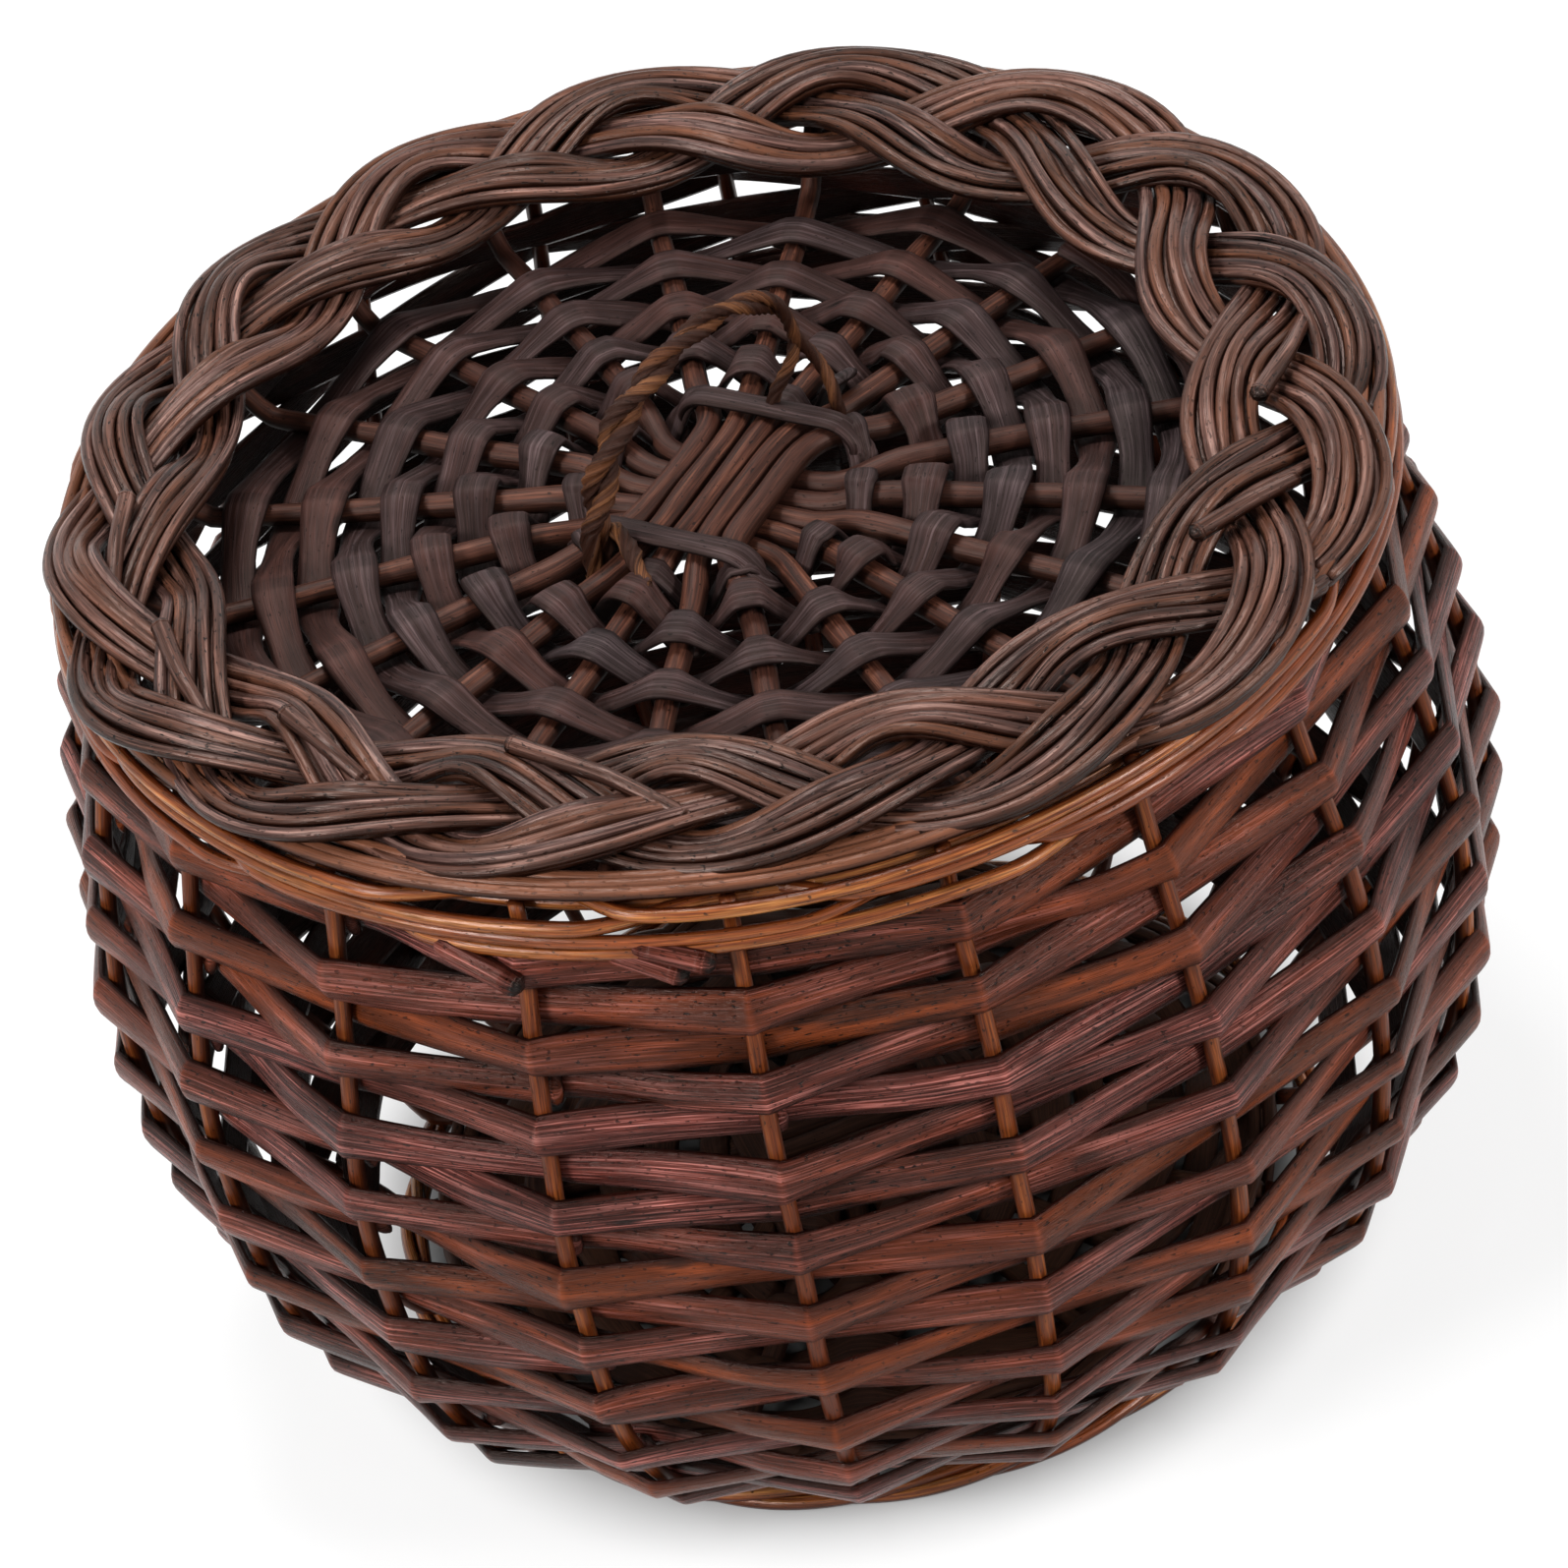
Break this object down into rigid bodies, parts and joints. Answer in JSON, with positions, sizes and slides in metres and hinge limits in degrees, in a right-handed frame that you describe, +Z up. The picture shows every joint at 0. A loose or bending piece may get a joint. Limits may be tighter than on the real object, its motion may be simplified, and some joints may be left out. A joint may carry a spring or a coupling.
{
  "type": "lidded wicker storage basket",
  "caption": "Round bellied basket of dark stained willow with a lift-off woven lid, a wide plaited border and a twisted loop handle.",
  "frame": {"origin": "on the basket's vertical axis, at the surface that the foot stands on", "axes": "+Z up through the lid's loop handle; +Y away from the viewer of the picture, +X to the viewer's right"},
  "size_m": [0.4078, 0.4074, 0.3173],
  "materials": {
    "stake_willow": "satin stained round willow",
    "siding_willow": "satin stained split willow",
    "wale_willow": "satin golden brown round willow",
    "base_willow": "matte stained willow",
    "lid_stick_willow": "satin stained round willow",
    "lid_strip_willow": "matte dark stained split willow",
    "border_willow": "satin stained thin willow",
    "loop_willow": "fibrous golden brown willow"
  },
  "bodies": {
    "basket": {"foot_wale": "wale_willow", "base_cross_upper": "base_willow", "base_cross_lower": "base_willow", "base_tie": "base_willow", "base_weaver_01": "base_willow", "base_weaver_02": "base_willow", "stake_01": "stake_willow", "stake_02": "stake_willow", "stake_03": "stake_willow", "stake_04": "stake_willow", "stake_05": "stake_willow", "stake_06": "stake_willow", "stake_07": "stake_willow", "stake_08": "stake_willow", "stake_09": "stake_willow", "stake_10": "stake_willow", "stake_11": "stake_willow", "stake_12": "stake_willow", "stake_13": "stake_willow", "stake_14": "stake_willow", "stake_15": "stake_willow", "stake_16": "stake_willow", "stake_17": "stake_willow", "stake_18": "stake_willow", "stake_19": "stake_willow", "stake_20": "stake_willow", "siding_row_01": "siding_willow", "siding_row_02": "siding_willow", "siding_row_03": "siding_willow", "siding_row_04": "siding_willow", "siding_row_05": "siding_willow", "siding_row_06": "siding_willow", "siding_row_07": "siding_willow", "siding_row_08": "siding_willow", "siding_row_09": "siding_willow", "siding_row_10": "siding_willow", "siding_row_11": "siding_willow", "siding_row_12": "siding_willow", "siding_row_13": "siding_willow", "siding_row_14": "siding_willow", "siding_row_15": "siding_willow", "siding_row_16": "siding_willow", "siding_row_17": "siding_willow", "siding_row_18": "siding_willow", "siding_row_19": "siding_willow", "siding_row_20": "siding_willow", "top_wale_rod_01": "wale_willow", "top_wale_rod_02": "wale_willow", "top_wale_rod_03": "wale_willow", "top_wale_rod_04": "wale_willow"},
    "lid": {"lid_cross_upper": "lid_stick_willow", "lid_cross_lower": "lid_stick_willow", "lid_tie": "lid_strip_willow", "lid_weaver_01": "lid_strip_willow", "lid_weaver_02": "lid_strip_willow", "plait_strand_01": "border_willow", "plait_strand_02": "border_willow", "plait_strand_03": "border_willow", "loop_rod_01": "loop_willow", "loop_rod_02": "loop_willow"}
  },
  "joints": [
    {"name": "lid_lift", "type": "slide", "parent": "basket", "child": "lid", "axis": [0, 0, 1], "range_m": [0, 0.15]}
  ]
}
